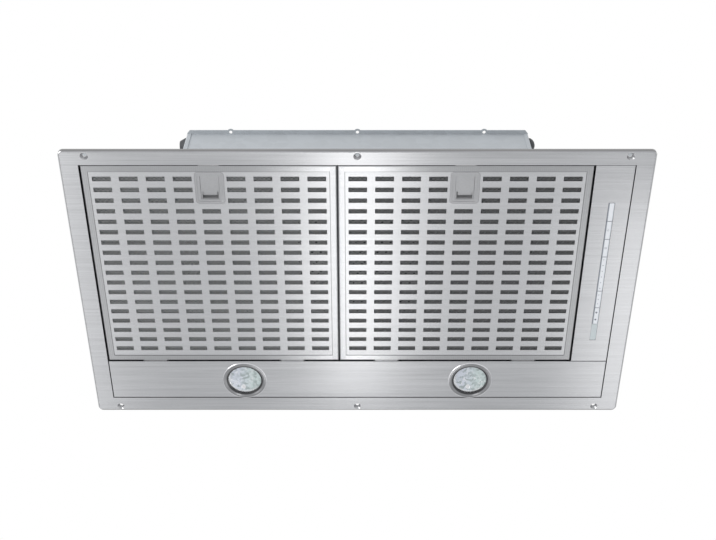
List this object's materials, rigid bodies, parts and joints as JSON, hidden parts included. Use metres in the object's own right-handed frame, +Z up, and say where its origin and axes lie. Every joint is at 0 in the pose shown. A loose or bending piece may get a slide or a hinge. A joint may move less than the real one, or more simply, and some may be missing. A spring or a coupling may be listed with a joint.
{
  "type": "range hood insert",
  "caption": "Flush range hood insert: stainless flange with slotted grease filters, lamps and key strip below a galvanised fan box with a round duct outlet.",
  "frame": {"origin": "centre of the flange's screw pattern, on the seating plane where the flange rim meets the cabinet", "axes": "+X towards the control panel, -Y to the front edge with the latches, +Z up through the fan box to the duct"},
  "size_m": [0.702, 0.394, 0.295],
  "materials": {
    "stainless": "brushed along the width",
    "filter_stainless": "brushed along the width",
    "latch_metal": "satin",
    "grease_mesh": "woven layers",
    "galvanised": "zinc coated, faint spangle",
    "zinc_screws": "zinc plated",
    "key_white": "translucent white",
    "dark_plastic": "moulded, fine grain",
    "circuit_board": "solder mask",
    "rubber_grey": "matte moulded",
    "rubber_black": "matte",
    "fan_plastic": "moulded",
    "flap_plastic": "moulded",
    "wheel_plastic": "glass-filled",
    "motor_paint": "cast, painted",
    "bronze": "sintered",
    "shaft_steel": "ground",
    "capacitor_shell": "smooth",
    "bezel_chrome": "satin chrome",
    "lamp_glass": "clear",
    "reflector": "faceted mirror",
    "bulb_glass": "frosted"
  },
  "bodies": {
    "root": {"flange_frame": "stainless", "lower_housing": "galvanised", "filter_centre_bar": "galvanised", "lamp_partition": "galvanised", "lamp_panel": "stainless", "control_panel": "stainless", "key_strip_blanks": "key_white", "key_carrier": "dark_plastic", "key_switches": "dark_plastic", "control_board": "circuit_board", "control_cover": "dark_plastic", "housing_front": "galvanised", "housing_sides": "galvanised", "housing_back": "galvanised", "housing_cover": "galvanised", "pan_head_screws": "zinc_screws", "cable_gland": "rubber_grey", "blanking_plug": "rubber_grey", "outlet_duct": "fan_plastic", "outlet_collar": "fan_plastic", "flap_pins": "zinc_screws", "scroll_left_half": "fan_plastic", "scroll_right_half": "fan_plastic", "motor": "motor_paint", "motor_bearings": "bronze", "motor_bracket": "galvanised", "motor_rubber_mounts": "rubber_black", "capacitor": "capacitor_shell", "terminal_box": "dark_plastic", "terminal_cover": "dark_plastic", "terminal_block": "key_white", "lamp_left_bezel": "bezel_chrome", "lamp_left_glass": "lamp_glass", "lamp_left_reflector": "reflector", "lamp_left_bulb": "bulb_glass", "lamp_left_can": "galvanised", "lamp_right_bezel": "bezel_chrome", "lamp_right_glass": "lamp_glass", "lamp_right_reflector": "reflector", "lamp_right_bulb": "bulb_glass", "lamp_right_can": "galvanised"},
    "filter_left": {"filter_left_face": "filter_stainless", "filter_left_mesh": "grease_mesh", "filter_left_back": "galvanised", "filter_left_latch_plate": "latch_metal"},
    "filter_right": {"filter_right_face": "filter_stainless", "filter_right_mesh": "grease_mesh", "filter_right_back": "galvanised", "filter_right_latch_plate": "latch_metal"},
    "latch_left": {"filter_left_latch": "latch_metal"},
    "latch_right": {"filter_right_latch": "latch_metal"},
    "fan_wheel": {"impeller": "wheel_plastic", "motor_shaft": "shaft_steel"},
    "flap_front": {"flap_front": "flap_plastic"},
    "flap_rear": {"flap_rear": "flap_plastic"},
    "key_light": {"key_light": "key_white"},
    "key_power": {"key_power": "key_white"},
    "key_fan_level": {"key_fan_level": "key_white"},
    "key_run_on": {"key_run_on": "key_white"},
    "key_filter_check": {"key_filter_check": "key_white"}
  },
  "joints": [
    {"name": "filter_left_hinge", "type": "hinge", "parent": "root", "child": "filter_left", "pos_m": [-0.1756, 0.1115, -0.0032], "axis": [1, 0, 0], "range_deg": [0, 75]},
    {"name": "latch_left_slide", "type": "slide", "parent": "filter_left", "child": "latch_left", "axis": [0, -1, 0], "range_m": [0, 0.0045]},
    {"name": "filter_right_hinge", "type": "hinge", "parent": "root", "child": "filter_right", "pos_m": [0.1281, 0.1115, -0.0032], "axis": [1, 0, 0], "range_deg": [0, 75]},
    {"name": "latch_right_slide", "type": "slide", "parent": "filter_right", "child": "latch_right", "axis": [0, -1, 0], "range_m": [0, 0.0045]},
    {"name": "key_light_press", "type": "slide", "parent": "root", "child": "key_light", "axis": [0, 0, 1], "range_m": [0, 0.0006], "stiffness_N_per_m": 900},
    {"name": "key_power_press", "type": "slide", "parent": "root", "child": "key_power", "axis": [0, 0, 1], "range_m": [0, 0.0006], "stiffness_N_per_m": 900},
    {"name": "key_fan_level_rock", "type": "hinge", "parent": "root", "child": "key_fan_level", "pos_m": [0.3055, -0.0247, -0.00295], "axis": [1, 0, 0], "range_deg": [-1.3, 1.3], "stiffness_Nm_per_rad": 0.6},
    {"name": "key_run_on_press", "type": "slide", "parent": "root", "child": "key_run_on", "axis": [0, 0, 1], "range_m": [0, 0.0006], "stiffness_N_per_m": 900},
    {"name": "key_filter_check_press", "type": "slide", "parent": "root", "child": "key_filter_check", "axis": [0, 0, 1], "range_m": [0, 0.0006], "stiffness_N_per_m": 900},
    {"name": "fan_wheel_spin", "type": "hinge", "parent": "root", "child": "fan_wheel", "pos_m": [0, 0.01, 0.142], "axis": [1, 0, 0], "continuous": true},
    {"name": "flap_front_hinge", "type": "hinge", "parent": "root", "child": "flap_front", "pos_m": [0, 0.0755, 0.264], "axis": [-1, 0, 0], "range_deg": [0, 78]},
    {"name": "flap_rear_hinge", "type": "hinge", "parent": "root", "child": "flap_rear", "pos_m": [0, 0.0845, 0.264], "axis": [1, 0, 0], "range_deg": [0, 78]}
  ]
}
